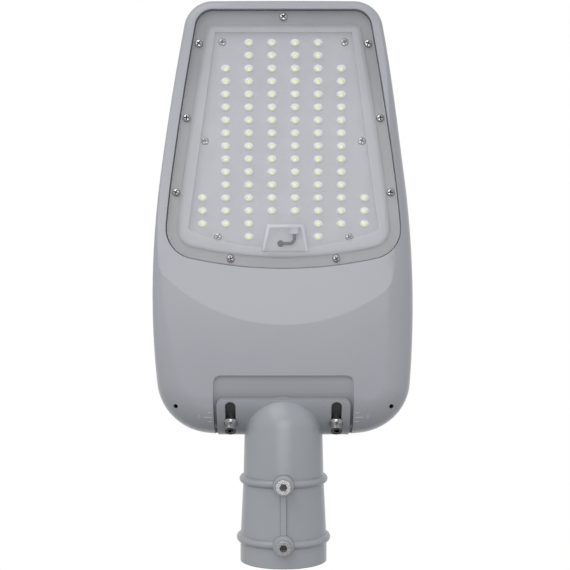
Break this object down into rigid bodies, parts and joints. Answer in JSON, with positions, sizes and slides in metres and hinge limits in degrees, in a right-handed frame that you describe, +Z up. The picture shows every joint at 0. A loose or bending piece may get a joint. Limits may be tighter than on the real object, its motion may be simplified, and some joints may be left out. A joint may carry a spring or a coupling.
{
  "type": "led street light head",
  "caption": "Flat tapered LED street light head with a clear lens panel underneath and a tilting spigot bracket for a pole.",
  "frame": {"origin": "centre of the spigot mouth on the bore axis", "axes": "+Y along the spigot from its mouth to the tip of the head, +Z up, the LEDs face -Z, +X across the head"},
  "size_m": [0.2228, 0.4766, 0.104],
  "materials": {
    "housing_paint": "light grey powder coat with a fine grain",
    "cover_paint": "light grey powder coat with a fine grain",
    "bracket_paint": "light grey powder coat, a little darker than the head",
    "panel_clear": "clear moulded polycarbonate",
    "seal_rubber": "matt silicone",
    "grommet_rubber": "matt rubber",
    "screw_steel": "stainless steel",
    "washer_steel": "stainless steel",
    "board_white": "white solder mask on an aluminium board",
    "chip_phosphor": "yellow phosphor",
    "connector_plastic": "moulded nylon",
    "lead_sheath": "dark sheath",
    "driver_case": "plain extruded case",
    "surge_case": "dark moulded case",
    "terminal_brass": "plain brass"
  },
  "bodies": {
    "bracket": {"bracket": "bracket_paint", "clamp_screws": "screw_steel"},
    "head": {"housing": "housing_paint", "driver_cover": "cover_paint", "cover_gasket": "seal_rubber", "cover_screws": "screw_steel", "lens_panel": "panel_clear", "lens_gasket": "seal_rubber", "lens_screws": "screw_steel", "led_board": "board_white", "led_chips": "chip_phosphor", "board_screws": "screw_steel", "board_connector": "connector_plastic", "board_lead": "lead_sheath", "lead_grommet": "grommet_rubber", "driver": "driver_case", "driver_screws": "screw_steel", "surge_protector": "surge_case", "terminal_block": "connector_plastic", "terminal_screws": "terminal_brass", "cable_grommet": "grommet_rubber", "tilt_bolts": "screw_steel", "tilt_washers": "washer_steel", "spring_washers": "washer_steel"}
  },
  "joints": [
    {"name": "head_tilt", "type": "hinge", "parent": "bracket", "child": "head", "pos_m": [0, 0.156, 0.024], "axis": [1, 0, 0], "range_deg": [-15, 15]}
  ]
}
